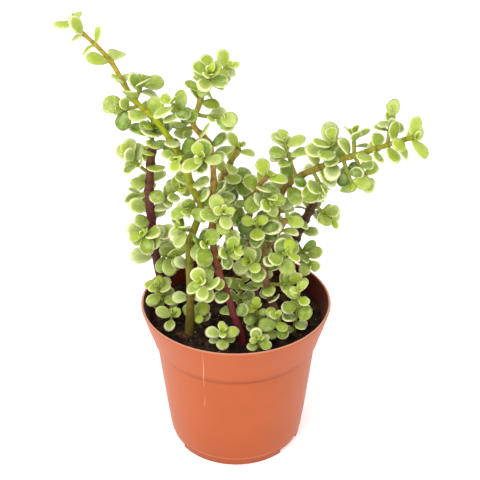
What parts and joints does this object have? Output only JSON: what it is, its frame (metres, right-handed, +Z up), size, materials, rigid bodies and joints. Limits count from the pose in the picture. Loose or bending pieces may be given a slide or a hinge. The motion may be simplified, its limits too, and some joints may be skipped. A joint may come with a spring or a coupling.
{
  "type": "potted elephant bush",
  "caption": "Variegated dwarf jade cuttings with fleshy round leaves on arching stems, rooted in soil in a tapered round plastic nursery pot.",
  "frame": {"origin": "middle of the pot's foot, on the surface it stands on, under the middle of the whole plant's box", "axes": "+Z up, -Y the front, +X to the right; the highest stem arches to -X"},
  "size_m": [0.1844, 0.105, 0.2377],
  "materials": {
    "terracotta_plastic": "satin injection-moulded polypropylene, terracotta coloured",
    "potting_mix": "dark, moist, crumbly peat mix",
    "bark": "smooth young bark, red-brown below and olive green above",
    "leafy_shoot": "fleshy satin leaves, green with cream margins"
  },
  "bodies": {
    "root": {"nursery_pot": "terracotta_plastic", "potting_soil": "potting_mix", "left_stem": "bark", "left_shoot_1": "leafy_shoot", "left_shoot_2": "leafy_shoot", "left_shoot_3": "leafy_shoot", "left_shoot_4": "leafy_shoot", "left_shoot_5": "leafy_shoot", "left_shoot_6": "leafy_shoot", "arching_stem": "bark", "arching_shoot_1": "leafy_shoot", "arching_shoot_2": "leafy_shoot", "arching_shoot_3": "leafy_shoot", "arching_shoot_4": "leafy_shoot", "arching_shoot_5": "leafy_shoot", "arching_shoot_6": "leafy_shoot", "centre_stem": "bark", "centre_shoot_1": "leafy_shoot", "centre_shoot_2": "leafy_shoot", "centre_shoot_3": "leafy_shoot", "centre_shoot_4": "leafy_shoot", "centre_shoot_5": "leafy_shoot", "centre_shoot_6": "leafy_shoot", "centre_shoot_7": "leafy_shoot", "centre_shoot_8": "leafy_shoot", "centre_shoot_9": "leafy_shoot", "back_stem": "bark", "back_shoot_1": "leafy_shoot", "back_shoot_2": "leafy_shoot", "back_shoot_3": "leafy_shoot", "back_shoot_4": "leafy_shoot", "right_stem": "bark", "right_shoot_1": "leafy_shoot", "right_shoot_2": "leafy_shoot", "right_shoot_3": "leafy_shoot", "right_shoot_4": "leafy_shoot", "right_shoot_5": "leafy_shoot", "right_shoot_6": "leafy_shoot", "right_shoot_7": "leafy_shoot", "right_shoot_8": "leafy_shoot", "stub_stem": "bark", "stub_shoot_1": "leafy_shoot", "stub_shoot_2": "leafy_shoot", "stub_shoot_3": "leafy_shoot", "forked_stem": "bark", "forked_shoot_1": "leafy_shoot", "forked_shoot_2": "leafy_shoot", "forked_shoot_3": "leafy_shoot", "forked_shoot_4": "leafy_shoot", "slim_stem": "bark", "slim_shoot_1": "leafy_shoot", "young_cutting_1": "leafy_shoot", "young_cutting_2": "leafy_shoot", "young_cutting_3": "leafy_shoot", "young_cutting_4": "leafy_shoot", "young_cutting_5": "leafy_shoot", "young_cutting_6": "leafy_shoot", "young_cutting_7": "leafy_shoot", "young_cutting_8": "leafy_shoot", "young_cutting_9": "leafy_shoot"}
  },
  "joints": []
}
